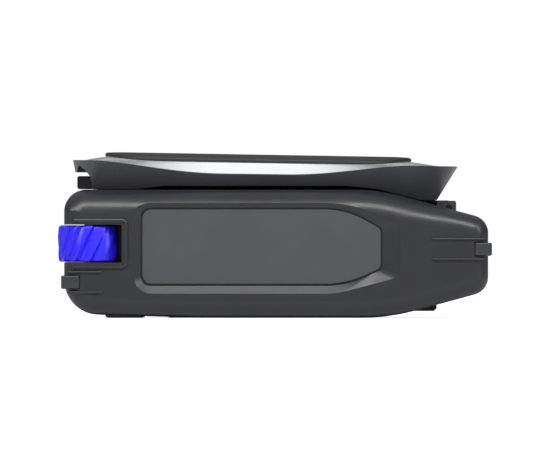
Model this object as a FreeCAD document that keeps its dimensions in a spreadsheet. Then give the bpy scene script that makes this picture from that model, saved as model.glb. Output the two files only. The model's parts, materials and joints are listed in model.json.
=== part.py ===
import FreeCAD, Part
import math
import os
import re

import Sketcher
from FreeCAD import Placement, Rotation, Vector

# In-car radar detector. Front (antenna end) towards +X, left side +Y, up +Z.
# Origin on the resting plane, under the middle of the whole object.
# All sizes in millimetres; "half" sizes are measured from the middle plane y = 0.
SIZES = {
    # Housing, side outline
    "body_half": 38.0,
    "body_rear": 63.2,
    "body_nose": 64.1,
    "body_top": 38.5,
    "belly_rise": 1.2,
    "belly_flat_start": -22.0,
    "chin_start": 34.4,
    "nose_low": 8.1,
    "nose_high": 29.6,
    "hip_start": 31.0,
    "rear_top_radius": 6.6,
    "rear_low_radius": 10.5,
    "nose_radius": 5.4,
    "hip_radius": 60.0,
    "side_radius": 5.0,
    "shoulder_radius": 7.5,
    "shoulder_rear": -58.0,
    "shoulder_front": 49.1,
    "wall_thick": 2.0,
    "side_wall": 3.4,
    "floor_thick": 3.0,
    # Recess across the rear end and the two wheel pockets at its corners
    "slot_low": 16.6,
    "slot_high": 28.0,
    "slot_end": -45.9,
    "recess_floor": -56.7,
    "pocket_inner": 20.0,
    "pocket_wall": 1.8,
    "encoder_half": 3.4,
    "encoder_floor": 0.5,
    "rim_reach": 2.0,
    "rim_proud": 0.9,
    "rim_round": 0.8,
    "lip_width": 0.7,
    "lip_depth": 0.45,
    # Thumbwheels
    "wheel_x": -56.0,
    "wheel_y": 30.0,
    "wheel_radius": 9.2,
    "wheel_low": 16.8,
    "wheel_high": 27.8,
    "fin_count": 12,
    "fin_depth": 1.1,
    "fin_twist": 38.0,
    "wheel_bulge": 0.35,
    "shaft_radius": 1.2,
    "shaft_low": 11.5,
    "shaft_high": 29.4,
    "run_gap": 0.05,
    # Side panels and their recess
    "panel_rear": -40.3,
    "panel_front": 32.4,
    "panel_low": 9.6,
    "panel_high": 33.1,
    "panel_shoulder": 21.5,
    "panel_front_low": 14.6,
    "panel_front_high": 27.0,
    "panel_corner": 3.0,
    "panel_thick": 0.9,
    "bevel_depth": 1.6,
    "frame_step": 0.3,
    "frame_rear": -42.2,
    "frame_front": 37.6,
    "frame_low": 7.25,
    "frame_high": 35.5,
    "frame_shoulder": 18.5,
    "frame_front_low": 12.3,
    "frame_front_high": 28.6,
    "frame_corner": 5.1,
    "fit_gap": 0.12,
    "cut_margin": 1.0,
    "cut_beyond": 5.0,
    # Corner clips and the ribs beside them
    "clip_height": 4.0,
    "clip_thick": 1.9,
    "clip_round": 1.5,
    "front_clip_low": 18.6,
    "rear_clip_low": 8.7,
    "clip_front": 65.2,
    "clip_front_back": 60.1,
    "clip_rear": -64.1,
    "clip_rear_back": -58.6,
    "clip_inner": 27.0,
    "rib_thick": 0.7,
    "rib_gap": 0.7,
    "rib_proud": 0.6,
    "rib_round": 0.25,
    "front_rib_back": 47.2,
    "rear_rib_back": -51.5,
    # Front window and rear service cover
    "window_half": 29.0,
    "window_low": 12.5,
    "window_high": 26.0,
    "window_thick": 1.2,
    "service_low": 8.7,
    "service_high": 14.4,
    "service_thick": 1.0,
    # Bottom cover
    "cover_rear": -32.0,
    "cover_front": 26.0,
    "cover_half": 29.0,
    "cover_thick": 1.5,
    "cover_lip": 5.0,
    "cover_screw_rear": -29.6,
    "cover_screw_front": 23.6,
    "cover_screw_half": 26.6,
    "screw_radius": 1.0,
    "head_radius": 1.9,
    "head_sink": 0.7,
    "sunk_head": 0.6,
    "pan_head": 1.1,
    "boss_radius": 3.0,
    "boss_top": 9.0,
    "cover_screw_length": 6.4,
    # Feet
    "foot_radius": 1.2,
    "rear_foot_back": -51.0,
    "rear_foot_front": -38.7,
    "rear_foot_inner": 22.0,
    "rear_foot_outer": 34.0,
    "rear_foot_top": 2.2,
    "front_foot_back": 39.1,
    "front_foot_front": 48.7,
    "front_foot_low": 2.0,
    "front_foot_height": 4.0,
    "foot_chamfer": 0.8,
    "front_foot_inner": 12.0,
    "front_foot_outer": 26.0,
    # Rear control group
    "bezel_thick": 0.8,
    "bezel_margin": 0.5,
    "module_margin": 0.6,
    "display_half": 11.5,
    "display_low": 18.0,
    "display_high": 26.6,
    "button_y": -15.2,
    "button_low": 19.6,
    "button_high": 25.0,
    "button_radius": 1.9,
    "button_proud": 0.8,
    "button_travel": 0.5,
    "collar_width": 0.5,
    "collar_thick": 0.8,
    "switch_half": 2.1,
    "jack_y": 15.2,
    "jack_low": 17.8,
    "jack_inset": 0.2,
    "jack_wall": 0.3,
    "jack_tongue_margin": 1.2,
    "tongue_half": 0.35,
    "jack_thick": 3.2,
    "jack_height": 9.0,
    "jack_length": 8.0,
    "board_thick": 1.6,
    "rear_board_x": -51.3,
    "rear_board_half": 17.5,
    "rear_board_low": 13.5,
    "rear_board_high": 31.0,
    # Main board and what it carries
    "board_rear": -43.0,
    "board_front": 28.0,
    "board_half": 33.0,
    "board_low": 12.0,
    "post_hole_deep": 5.0,
    "post_x": 25.0,
    "post_rear_x": -39.5,
    "post_y": 30.0,
    "board_screw_deep": 4.0,
    "cell_radius": 4.0,
    "cell_length": 18.0,
    "cell_x": -6.0,
    "cell_y": 22.0,
    "sensor_half": 10.0,
    "sensor_deep": 7.0,
    "sensor_height": 4.0,
    "horn_back": 30.0,
    "horn_mouth": 51.9,
    "horn_half": 16.2,
    "horn_throat_half": 8.0,
    "horn_low": 12.6,
    "horn_high": 24.1,
    "horn_throat_height": 6.0,
    "horn_back_wall": 2.0,
    "horn_wall": 1.2,
    "ribbon_thick": 0.3,
    "ribbon_half": 5.0,
    "ribbon_drop": 5.0,
    "ribbon_overlap": 4.0,
    "speaker_x": -3.0,
    "speaker_radius": 14.0,
    "speaker_deep": 6.0,
    "speaker_gap": 0.3,
    "magnet_radius": 7.7,
    "vent_radius": 0.9,
    "vent_pitch": 3.4,
    # Hinge of the windscreen mount
    "hinge_x": 52.4,
    "hinge_z": 33.0,
    "knuckle_radius": 2.3,
    "hinge_pin_radius": 1.0,
    "hinge_pocket_back": 43.2,
    "hinge_pocket_front": 55.2,
    "hinge_pocket_floor": 29.8,
    "bracket_half": 14.0,
    "bracket_thick": 0.7,
    "bracket_screw_inset": 3.6,
    "bracket_screw_edge": 3.0,
    "bracket_screw_deep": 1.6,
    "arm_half": 7.8,
    "arm_gap": 0.25,
    "arm_overlap": 0.5,
    "arm_root": 4.2,
    "arm_root_top": 38.0,
    "arm_root_drop": 0.6,
    "arm_drop": 1.9,
    "ear_round": 0.6,
    # Windscreen mount
    "mount_rear": -60.7,
    "mount_front": 55.3,
    "mount_tilt": 0.99,
    "deck_height": 46.4,
    "deck_half": 20.5,
    "deck_crown": 1.45,
    "crown_rear": -59.5,
    "crown_rear_full": -48.0,
    "crown_front_full": 37.0,
    "crown_front": 52.0,
    "deck_flat_half": 7.0,
    "rim_half": 31.0,
    "skirt_base": 35.4,
    "base_half": 25.0,
    "base_rear": -58.4,
    "base_corner": 10.0,
    "crest_height": 49.0,
    "crest_half": 35.7,
    "crest_rear": -61.0,
    "crest_front": 57.3,
    "crest_corner": 15.0,
    "rim_dip": 3.55,
    "dip_rear": -56.0,
    "dip_rear_full": -16.0,
    "dip_front_full": 4.0,
    "dip_front": 42.0,
    "skirt_wall": 1.6,
    "skirt_deep": 20.0,
    "inlay_thick": 0.8,
    "inlay_margin": 1.0,
    "skirt_bottom": 39.7,
    "skirt_heel": 35.4,
    "skirt_gap": 0.15,
    "gap_rear": -42.0,
    "gap_front": 31.0,
    "gap_slope": 9.0,
    "heel_slope": 4.9,
    "heel_front": 48.9,
    "pad_rear": -51.2,
    "pad_front": 41.3,
    "pad_half": 19.5,
    "pad_thick": 1.2,
    "pad_seat": 0.02,
    "bar_rear": -59.4,
    "bar_front": -54.4,
    "bar_low": 38.7,
    "bar_high": 42.6,
    "bar_half": 21.0,
    "bar_round": 0.6,
    "rest_rear": -54.2,
    "rest_front": 45.6,
    "rest_half": 17.0,
    "rest_low": 30.0,
    "rest_high": 41.4,
    "rest_notch": 43.9,
    "rest_notch_gap": 0.5,
}

doc = FreeCAD.newDocument("radar_detector")
sheet = doc.addObject("Spreadsheet::Sheet", "sizes")
for row, (alias, value) in enumerate(SIZES.items(), start=1):
    sheet.set(f"A{row}", alias)
    sheet.set(f"B{row}", str(value))
    sheet.setAlias(f"B{row}", alias)
doc.recompute()

nodes = []


# ---------------------------------------------------------------- helpers

def size(alias):
    """A driving dimension, read back from the sheet."""
    return float(sheet.get(alias))


def on_sheet(expression):
    """Expression text with each alias (every alias holds an underscore) named on the sheet."""
    return re.sub(r"\b([a-z]+(?:_[a-z]+)+)\b", r"sizes.\1", str(expression))


def bind(obj, **expressions):
    for name, expression in expressions.items():
        obj.setExpression(name, on_sheet(expression))


def node(obj, label):
    """Name a finished sub-part and list it for export."""
    obj.Label = label
    nodes.append(obj)
    return obj


def place(obj, x, y, z, turn=Rotation()):
    """Put an object's base point where three expressions say, after an optional fixed turn."""
    obj.Placement = Placement(Vector(), turn)
    for axis, expression in zip("xyz", (x, y, z)):
        obj.setExpression(f"Placement.Base.{axis}", on_sheet(expression))


def box(name, x, y, z):
    """Box between pairs of expressions (low, high) along x, y and z."""
    obj = doc.addObject("Part::Box", name)
    bind(obj, Length=f"({x[1]}) - ({x[0]})", Width=f"({y[1]}) - ({y[0]})", Height=f"({z[1]}) - ({z[0]})")
    place(obj, x[0], y[0], z[0])
    return obj


ALONG = {
    "x": Rotation(Vector(0, 1, 0), 90),
    "y": Rotation(Vector(1, 0, 0), -90),
    "z": Rotation(),
}


def cylinder(name, radius, start, length, axis="z"):
    """Cylinder from its start point, an expression triple, along one axis."""
    obj = doc.addObject("Part::Cylinder", name)
    bind(obj, Radius=radius, Height=length)
    place(obj, *start, turn=ALONG[axis])
    return obj


def fuse(name, parts):
    if len(parts) == 1:
        return parts[0]
    obj = doc.addObject("Part::MultiFuse", name)
    obj.Shapes = parts
    return obj


def cut(name, base, tools):
    obj = doc.addObject("Part::Cut", name)
    obj.Base = base
    obj.Tool = fuse(name + "_tools", tools)
    return obj


def group(name, parts):
    """Separate identical solids kept in one sub-part."""
    obj = doc.addObject("Part::Compound", name)
    obj.Links = parts
    return obj


def feature(name, shape):
    obj = doc.addObject("Part::Feature", name)
    obj.Shape = shape
    return obj


def sides(parts):
    """Yield (name, sign) for the left (+Y) and right (-Y) sides."""
    return [(f"left_{parts}", 1), (f"right_{parts}", -1)]


def span(sign, inner, outer):
    """Low and high y expressions of a span from inner to outer on one side."""
    if sign > 0:
        return (f"{inner}", f"{outer}")
    return (f"-({outer})", f"-({inner})")


def outline_sketch(body, name, plane, corners, offset="0"):
    """Closed straight-sided sketch on an origin plane, its corners bound to the sheet."""
    sketch = body.newObject("Sketcher::SketchObject", name)
    origin_plane = [item for item in body.Origin.OriginFeatures if item.Role == plane][0]
    sketch.AttachmentSupport = (origin_plane, [""])
    sketch.MapMode = "FlatFace"
    bind_offset = on_sheet(offset)
    sketch.setExpression("AttachmentOffset.Base.z", bind_offset)
    probe = doc.addObject("Part::Vertex", name + "_probe")
    points = []
    for across, up in corners:
        bind(probe, X=across, Y=up)
        probe.recompute()
        points.append(Vector(float(probe.X), float(probe.Y), 0))
    doc.removeObject(probe.Name)
    count = len(points)
    for index in range(count):
        sketch.addGeometry(Part.LineSegment(points[index], points[(index + 1) % count]), False)
    for index in range(count):
        sketch.addConstraint(Sketcher.Constraint("Coincident", index, 2, (index + 1) % count, 1))
    for index, (across, up) in enumerate(corners):
        for kind, value, expression in (("DistanceX", points[index].x, across), ("DistanceY", points[index].y, up)):
            number = sketch.addConstraint(Sketcher.Constraint(kind, -1, 1, index, 1, value))
            sketch.setExpression(f"Constraints[{number}]", on_sheet(expression))
    return sketch


def padded_body(name, plane, corners, length, offset="0", symmetric=False, backwards=False):
    """Body with one padded outline; its pad is the tip."""
    body = doc.addObject("PartDesign::Body", name)
    sketch = outline_sketch(body, name + "_outline", plane, corners, offset)
    pad = body.newObject("PartDesign::Pad", name + "_pad")
    pad.Profile = sketch
    bind(pad, Length=length)
    if symmetric:
        pad.SideType = "Symmetric"
    pad.Reversed = backwards
    doc.recompute()
    return body


def dress(body, kind, radius, chosen):
    """Fillet or Chamfer every edge of the body's tip that the test picks out."""
    tip = body.Tip
    names = [f"Edge{index}" for index, edge in enumerate(tip.Shape.Edges, start=1) if chosen(edge)]
    finish = body.newObject(f"PartDesign::{kind}", f"{body.Name}_{kind.lower()}")
    finish.Base = (tip, names)
    bind(finish, **{"Radius" if kind == "Fillet" else "Size": radius})
    doc.recompute()
    return finish


def through(axis, first, second, reach=0.05):
    """Edge test: the edge runs along one axis through a point of the plane across it."""
    across = {"x": ("y", "z"), "y": ("x", "z"), "z": ("x", "y")}[axis]

    def chosen(edge):
        ends = [vertex.Point for vertex in edge.Vertexes]
        return len(ends) == 2 and all(
            abs(getattr(end, across[0]) - first) < reach and abs(getattr(end, across[1]) - second) < reach
            for end in ends
        )

    return chosen


def on_planes(axis, *values, reach=1e-4):
    """Edge test: both ends and the middle lie in one of the planes across an axis."""

    def chosen(edge):
        middle = edge.valueAt((edge.FirstParameter + edge.LastParameter) / 2)
        points = [vertex.Point for vertex in edge.Vertexes] + [middle]
        return any(all(abs(getattr(point, axis) - value) < reach for point in points) for value in values)

    return chosen


def rounded_wire(corners, depth):
    """Closed wire in the plane y = depth from (x, z, radius) corners."""
    edges = []
    arcs = []
    count = len(corners)
    for index, (x, z, radius) in enumerate(corners):
        here = Vector(x, depth, z)
        before = Vector(corners[index - 1][0], depth, corners[index - 1][1])
        after = Vector(corners[(index + 1) % count][0], depth, corners[(index + 1) % count][1])
        back = (before - here).normalize()
        ahead = (after - here).normalize()
        half_angle = back.getAngle(ahead) / 2
        reach = radius / math.tan(half_angle)
        centre = here + (back + ahead).normalize() * (radius / math.sin(half_angle))
        nearest = centre + (here - centre).normalize() * radius
        arcs.append((here + back * reach, nearest, here + ahead * reach))
    for index, (start, middle, end) in enumerate(arcs):
        edges.append(Part.Arc(start, middle, end).toShape())
        edges.append(Part.LineSegment(end, arcs[(index + 1) % count][0]).toShape())
    return Part.Wire(edges)


# ---------------------------------------------------------------- housing

def housing_block():
    """Outer form of the housing: the side outline padded across, all its edges rounded."""
    corners = [
        ("-body_rear", "belly_rise"),
        ("-body_rear", "body_top"),
        ("hip_start", "body_top"),
        ("body_nose", "nose_high"),
        ("body_nose", "nose_low"),
        ("chin_start", "0"),
        ("belly_flat_start", "0"),
    ]
    body = padded_body("housing_block", "XZ_Plane", corners, "2 * body_half", symmetric=True)
    rear = -size("body_rear")
    nose = size("body_nose")
    dress(body, "Fillet", "rear_low_radius", through("y", rear, size("belly_rise")))
    dress(body, "Fillet", "rear_top_radius", through("y", rear, size("body_top")))
    dress(body, "Fillet", "hip_radius", through("y", size("hip_start"), size("body_top")))
    dress(body, "Fillet", "hip_radius", through("y", size("chin_start"), 0))
    dress(body, "Fillet", "nose_radius", through("y", nose, size("nose_high")))
    dress(body, "Fillet", "nose_radius", through("y", nose, size("nose_low")))
    return body


def shoulder_radius_at(point):
    """Radius of the long side edges: larger along the top than at the ends and underneath."""
    along_top = size("shoulder_rear") < point.x < size("shoulder_front") and point.z > size("body_top") / 2
    return size("shoulder_radius") if along_top else size("side_radius")


def housing_form():
    """The block with its long side edges rounded, more generously along the top."""
    rounded = doc.addObject("Part::Fillet", "housing_form")
    rounded.Base = housing_block()
    half = size("body_half")
    edges = []
    for index, edge in enumerate(rounded.Base.Shape.Edges, start=1):
        if on_planes("y", -half, half)(edge):
            ends = [edge.valueAt(edge.FirstParameter), edge.valueAt(edge.LastParameter)]
            edges.append((index, shoulder_radius_at(ends[0]), shoulder_radius_at(ends[1])))
    rounded.Edges = edges
    doc.recompute()
    return rounded


def housing_cavity():
    """Space inside the housing, clear of the end pockets, screw bosses and hinge seat."""
    corners = [
        ("-body_rear + wall_thick", "rear_low_radius + belly_rise"),
        ("-body_rear + wall_thick", "body_top - rear_top_radius"),
        ("-body_rear + rear_top_radius", "body_top - wall_thick"),
        ("hip_start", "body_top - wall_thick"),
        ("body_nose - nose_radius", "nose_high - wall_thick"),
        ("body_nose - wall_thick - window_thick", "nose_high - nose_radius"),
        ("body_nose - wall_thick - window_thick", "nose_low + nose_radius"),
        ("body_nose - nose_radius", "nose_low + wall_thick + cut_margin"),
        ("chin_start", "floor_thick"),
        ("-body_rear + rear_low_radius", "floor_thick"),
    ]
    body = padded_body("cavity_block", "XZ_Plane", corners, "2 * (body_half - side_wall)", symmetric=True)
    half = size("body_half") - size("side_wall")
    dress(body, "Chamfer", "wall_thick", on_planes("y", -half, half))
    wall = "pocket_wall"
    low, high = f"slot_low - {wall}", f"slot_high + {wall}"
    keep = [box("recess_envelope", ("-body_rear - cut_margin", f"recess_floor + {wall}"),
                ("-body_half", "body_half"), (low, high))]
    for name, sign in sides("pocket_envelope"):
        keep.append(box(name, ("-body_rear - cut_margin", f"slot_end + {wall}"),
                        span(sign, f"pocket_inner - {wall}", "body_half"), (low, high)))
    keep.append(box("hinge_seat", ("hinge_pocket_back - wall_thick", "hinge_pocket_front + wall_thick"),
                    ("-bracket_half - wall_thick", "bracket_half + wall_thick"),
                    ("hinge_pocket_floor - wall_thick", "body_top")))
    for index, (x, y) in enumerate(screw_places("cover_screw_rear", "cover_screw_front", "cover_screw_half")):
        keep.append(cylinder(f"cover_boss_{index}", "boss_radius", (x, y, "0"), "boss_top"))
    for index, (x, y) in enumerate(screw_places("post_rear_x", "post_x", "post_y")):
        keep.append(cylinder(f"board_post_{index}", "boss_radius", (x, y, "0"), "board_low"))
    return cut("housing_cavity", body, keep)


def screw_places(rear, front, half):
    """The four corners of a rectangle of screws, as expression pairs."""
    return [(x, y) for x in (rear, front) for y in (half, f"-{half}")]


PANEL = (
    ("panel_rear", "panel_low", "panel_corner"),
    ("panel_rear", "panel_high", "panel_corner"),
    ("panel_shoulder", "panel_high", 25.0),
    ("panel_front", "panel_front_high", 2.2),
    ("panel_front", "panel_front_low", 2.2),
    ("panel_shoulder", "panel_low", 28.0),
)
FRAME = (
    ("frame_rear", "frame_low", "frame_corner"),
    ("frame_rear", "frame_high", "frame_corner"),
    ("frame_shoulder", "frame_high", 25.0),
    ("frame_front", "frame_front_high", 3.0),
    ("frame_front", "frame_front_low", 3.0),
    ("frame_shoulder", "frame_low", 30.0),
)


def outline_at(corners, depth):
    """Rounded outline of a panel or its frame at one depth, with its sizes read from the sheet."""
    values = []
    for x, z, radius in corners:
        values.append((size(x), size(z), size(radius) if isinstance(radius, str) else radius))
    return rounded_wire(values, depth)


def side_recess(sign):
    """Recess for a side panel: a small step, a taper down to the panel's outline, then its seat."""
    face = sign * (size("body_half") + size("cut_margin"))
    step_floor = sign * (size("body_half") - size("frame_step"))
    seat = sign * (size("body_half") - size("bevel_depth"))
    floor = seat - sign * size("panel_thick")
    step = Part.Face(outline_at(FRAME, face)).extrude(Vector(0, step_floor - face, 0))
    bevel = Part.makeLoft([outline_at(FRAME, step_floor), outline_at(PANEL, seat)], True, True)
    pocket = Part.Face(outline_at(PANEL, seat)).extrude(Vector(0, floor - seat, 0))
    return feature(f"panel_recess_{sign}", step.fuse(bevel).fuse(pocket))


def side_panel(label, sign):
    """Flat inlay panel, standing a gap clear of its seat all round."""
    outer = sign * (size("body_half") - size("bevel_depth"))
    gap = size("fit_gap")
    outline = outline_at(PANEL, outer)
    inset = Part.Face(outline.makeOffset2D(-gap))
    depth = size("panel_thick") - gap
    node(feature(label, inset.extrude(Vector(0, -sign * depth, 0))), label)


def rounded_part(base, radius, chosen):
    """Part fillet of one radius on every edge of the base that the test picks out."""
    rounded = doc.addObject("Part::Fillet", base.Name + "_rounded")
    rounded.Base = base
    doc.recompute()
    picked = [index for index, edge in enumerate(base.Shape.Edges, start=1) if chosen(edge)]
    rounded.Edges = [(index, size(radius), size(radius)) for index in picked]
    return rounded


def slot_rim(name, sign):
    """Raised collar round a wheel slot, with round corners and a round outer edge."""
    rim = box(name, ("-body_rear + side_radius / 2", "slot_end + rim_reach"),
              span(sign, "body_half - cut_margin", "body_half + rim_proud"),
              ("slot_low - rim_reach", "slot_high + rim_reach"))
    end = size("slot_end") + size("rim_reach")
    corners = (size("slot_low") - size("rim_reach"), size("slot_high") + size("rim_reach"))
    cornered = rounded_part(rim, "rim_reach", lambda edge: any(through("y", end, z)(edge) for z in corners))
    doc.recompute()
    face = sign * (size("body_half") + size("rim_proud"))
    return rounded_part(cornered, "rim_round", on_planes("y", face))


def clip_rows():
    """Each corner clip: end name, x span of its side arm, outer x of its end arm, its height."""
    return (
        ("front", "clip_front_back", "clip_front", "front_clip_low", "front_rib_back"),
        ("rear", "clip_rear_back", "clip_rear", "rear_clip_low", "rear_rib_back"),
    )


def ordered(first, second):
    """Two expressions in rising order of their values on the sheet."""
    values = [value_of(first), value_of(second)]
    return (first, second) if values[0] < values[1] else (second, first)


def value_of(expression):
    """Value of an expression of aliases, plus and minus signs and plain numbers."""
    total = 0.0
    for sign, term in re.findall(r"([+-]?)\s*([a-z_]+|[0-9.]+)", expression):
        amount = size(term) if term[0].isalpha() else float(term)
        total += -amount if sign == "-" else amount
    return total


def clip_arms(name, sign, back, end, low, gap="0"):
    """The two arms of an L-shaped corner clip, or with a gap the notch that takes them."""
    at_front = value_of(end) > 0
    back_x = f"{back} - {gap}" if at_front else f"{back} + {gap}"
    face_x = "body_nose + run_gap" if at_front else "-body_rear - run_gap"
    outer = f"body_half + rib_proud + {gap}"
    heights = (f"{low} - {gap}", f"{low} + clip_height + {gap}")
    side = box(name + "_side", ordered(back_x, end),
               span(sign, f"body_half + rib_proud - clip_thick - {gap}", outer), heights)
    face = box(name + "_face", ordered(face_x, end), span(sign, "clip_inner", outer), heights)
    return fuse(name + "_arms", [side, face])


def clip_ribs(name, sign, back, end, low):
    """Two thin ribs that guide a clip's side arm, out to the corner of the housing."""
    reach = "body_nose - cut_margin" if value_of(end) > 0 else "-body_rear + cut_margin"
    ribs = []
    levels = (("upper", f"{low} + clip_height + rib_gap"), ("lower", f"{low} - rib_gap - rib_thick"))
    for place_name, z in levels:
        rib = box(f"{name}_{place_name}", ordered(back, reach),
                  span(sign, "body_half - side_radius", "body_half + rib_proud"), (z, f"{z} + rib_thick"))
        face = sign * (size("body_half") + size("rib_proud"))
        ribs.append(rounded_part(rib, "rib_round", on_planes("y", face)))
    return ribs


def main_housing():
    """Housing shell with its pockets, recesses, ribs and collars."""
    outer = [housing_form()]
    for name, sign in sides("slot_rim"):
        outer.append(slot_rim(name, sign))
        for end_name, back, end, low, rib_back in clip_rows():
            outer += clip_ribs(f"{end_name}_{name}_rib", sign, rib_back, end, low)
    away = [housing_cavity()]
    beyond = "body_half + cut_beyond"
    behind = "-body_rear - cut_beyond"
    away.append(box("rear_recess", (behind, "recess_floor"), ("-body_half - cut_beyond", beyond),
                    ("slot_low", "slot_high")))
    for name, sign in sides("wheel_pocket"):
        pocket = box(name, (behind, "slot_end"), span(sign, "pocket_inner", beyond),
                     ("slot_low", "slot_high"))
        away.append(pocket)
        away.append(cylinder(f"{name}_shaft_hole", "shaft_radius + run_gap",
                             ("wheel_x", f"{sign} * wheel_y", "slot_low - pocket_wall - cut_margin"),
                             "slot_high - slot_low + 2 * (pocket_wall + cut_margin)"))
        away.append(box(f"{name}_lip", (behind, "slot_end + lip_width"),
                        span(sign, "body_half + rim_proud - lip_depth", beyond),
                        ("slot_low - lip_width", "slot_high + lip_width")))
        away.append(side_recess(sign))
        for end_name, back, end, low, rib_back in clip_rows():
            away.append(clip_arms(f"{end_name}_{name}_notch", sign, back, end, low, "fit_gap"))
    away.append(box("window_seat", ("body_nose - window_thick", "body_nose + cut_margin"),
                    ("-window_half", "window_half"), ("window_low", "window_high")))
    away.append(box("service_seat", ("-body_rear - cut_margin", "-body_rear + service_thick"),
                    ("-window_half", "window_half"), ("service_low", "service_high")))
    away.append(box("sensor_opening", ("body_nose - window_thick - sensor_deep - cut_margin", "body_nose"),
                    ("-sensor_half - cut_margin", "sensor_half + cut_margin"),
                    ("window_low + wall_thick", "window_high - wall_thick")))
    away += control_holes("housing", "pocket_wall + cut_margin")
    away.append(box("cover_seat", ("cover_rear", "cover_front"), ("-cover_half", "cover_half"),
                    ("-cut_margin", "cover_thick")))
    away.append(box("cover_opening", ("cover_rear + cover_lip", "cover_front - cover_lip"),
                    ("-cover_half + cover_lip", "cover_half - cover_lip"),
                    ("-cut_margin", "floor_thick + cut_margin")))
    for index, (x, y) in enumerate(screw_places("cover_screw_rear", "cover_screw_front", "cover_screw_half")):
        away.append(cylinder(f"cover_boss_hole_{index}", "screw_radius", (x, y, "-cut_margin"),
                             "boss_top - cut_margin"))
    for index, (x, y) in enumerate(screw_places("post_rear_x", "post_x", "post_y")):
        away.append(cylinder(f"post_hole_{index}", "screw_radius", (x, y, "board_low - post_hole_deep"),
                             "post_hole_deep + cut_margin"))
    away.append(box("hinge_pocket", ("hinge_pocket_back", "hinge_pocket_front"),
                    ("-bracket_half - fit_gap", "bracket_half + fit_gap"),
                    ("hinge_pocket_floor", "body_top + cut_margin")))
    for index, (x, y) in enumerate(bracket_screw_places()):
        away.append(cylinder(f"bracket_screw_hole_{index}", "screw_radius",
                             (x, y, "hinge_pocket_floor - wall_thick"), "wall_thick + cut_margin"))
    node(cut("main_housing", fuse("housing_outside", outer), away), "main_housing")


# ---------------------------------------------------------------- fitted covers and small outside pieces

def bottom_cover():
    """Flat cover in the seat under the belly, with screw holes and speaker vents."""
    gap = "fit_gap"
    plate = box("cover_plate", (f"cover_rear + {gap}", f"cover_front - {gap}"),
                (f"-cover_half + {gap}", f"cover_half - {gap}"), ("0", f"cover_thick - {gap}"))
    holes = []
    for index, (x, y) in enumerate(screw_places("cover_screw_rear", "cover_screw_front", "cover_screw_half")):
        holes.append(cylinder(f"cover_hole_{index}", "screw_radius", (x, y, "-cut_margin"),
                              "cover_thick + 2 * cut_margin"))
        holes.append(cylinder(f"cover_sink_{index}", f"head_radius + {gap}", (x, y, "-cut_margin"),
                              "cut_margin + head_sink"))
    rows = 3
    for column in range(-rows, rows + 1):
        for line in range(-rows, rows + 1):
            if math.hypot(column, line) < rows + 0.5:
                holes.append(cylinder(f"vent_{column + rows}_{line + rows}", "vent_radius",
                                      (f"speaker_x + {column} * vent_pitch", f"{line} * vent_pitch", "-cut_margin"),
                                      "cover_thick + 2 * cut_margin"))
    node(cut("bottom_cover", plate, holes), "bottom_cover")


def screws(label, places, start, shank, head_at_low=True):
    """Pan-head screws as separate solids in one sub-part."""
    solids = []
    for index, (x, y) in enumerate(places):
        stem = cylinder(f"{label}_stem_{index}", "screw_radius", (x, y, start), shank)
        head_start = start if head_at_low else f"{start} + {shank}"
        head_thick = "sunk_head" if head_at_low else "pan_head"
        head = cylinder(f"{label}_head_{index}", "head_radius", (x, y, head_start), head_thick)
        solids.append(fuse(f"{label}_{index}", [stem, head]))
    node(group(label, solids), label)


def feet():
    for name, sign in sides("foot"):
        side = name.split("_")[0]
        rear = padded_body(f"rear_{name}_block", "XY_Plane", rectangle(
            ("rear_foot_back", "rear_foot_front"), span(sign, "rear_foot_inner", "rear_foot_outer")),
            "rear_foot_top")
        dress(rear, "Fillet", "foot_radius", on_planes("z", 0))
        node(cut(f"rear_{side}_foot", rear, [block_copy(f"rear_{side}_belly")]), f"rear_{side}_foot")
        front = padded_body(f"front_{name}_block", "XY_Plane", rectangle(
            ("front_foot_back", "front_foot_front"), span(sign, "front_foot_inner", "front_foot_outer")),
            "front_foot_height", "front_foot_low")
        dress(front, "Chamfer", "foot_chamfer", on_planes("z", size("front_foot_low")))
        node(cut(f"front_{side}_foot", front, [block_copy(f"front_{side}_belly")]), f"front_{side}_foot")


def block_copy(name):
    """The housing's outer form again, for trimming a piece that sits against it."""
    return feature(name, doc.getObject("housing_form").Shape.copy())


def rectangle(x, y):
    return [(x[0], y[0]), (x[1], y[0]), (x[1], y[1]), (x[0], y[1])]


def corner_clips():
    for name, sign in sides("clip"):
        side = name.split("_")[0]
        for end_name, back, end, low, rib_back in clip_rows():
            label = f"{end_name}_{side}_clip"
            arms = clip_arms(label, sign, back, end, low)
            doc.recompute()
            corner = through("z", size(end), sign * (size("body_half") + size("rib_proud")))
            node(rounded_part(arms, "clip_round", corner), label)


def end_covers():
    gap = "fit_gap"
    node(box("front_window", (f"body_nose - window_thick + {gap}", "body_nose - run_gap"),
             (f"-window_half + {gap}", f"window_half - {gap}"), (f"window_low + {gap}", f"window_high - {gap}")),
         "front_window")
    node(box("service_cover", ("-body_rear + run_gap", f"-body_rear + service_thick - {gap}"),
             (f"-window_half + {gap}", f"window_half - {gap}"), (f"service_low + {gap}", f"service_high - {gap}")),
         "service_cover")


# ---------------------------------------------------------------- wheels

def fin_section(height, scale, turn):
    """One saw-toothed ring outline of a wheel: each fin drops steeply, then ramps to the next."""
    outer = size("wheel_radius") * scale
    root = outer - size("fin_depth")
    step = 360.0 / size("fin_count")
    profile = ((0.0, outer), (0.08, outer), (0.26, root), (0.60, root + 0.35 * (outer - root)))
    points = []
    for fin in range(int(size("fin_count"))):
        for part_way, radius in profile:
            angle = math.radians(turn + (fin + part_way) * step)
            points.append(Vector(radius * math.cos(angle), radius * math.sin(angle), height))
    return Part.makePolygon(points + points[:1])


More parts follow.
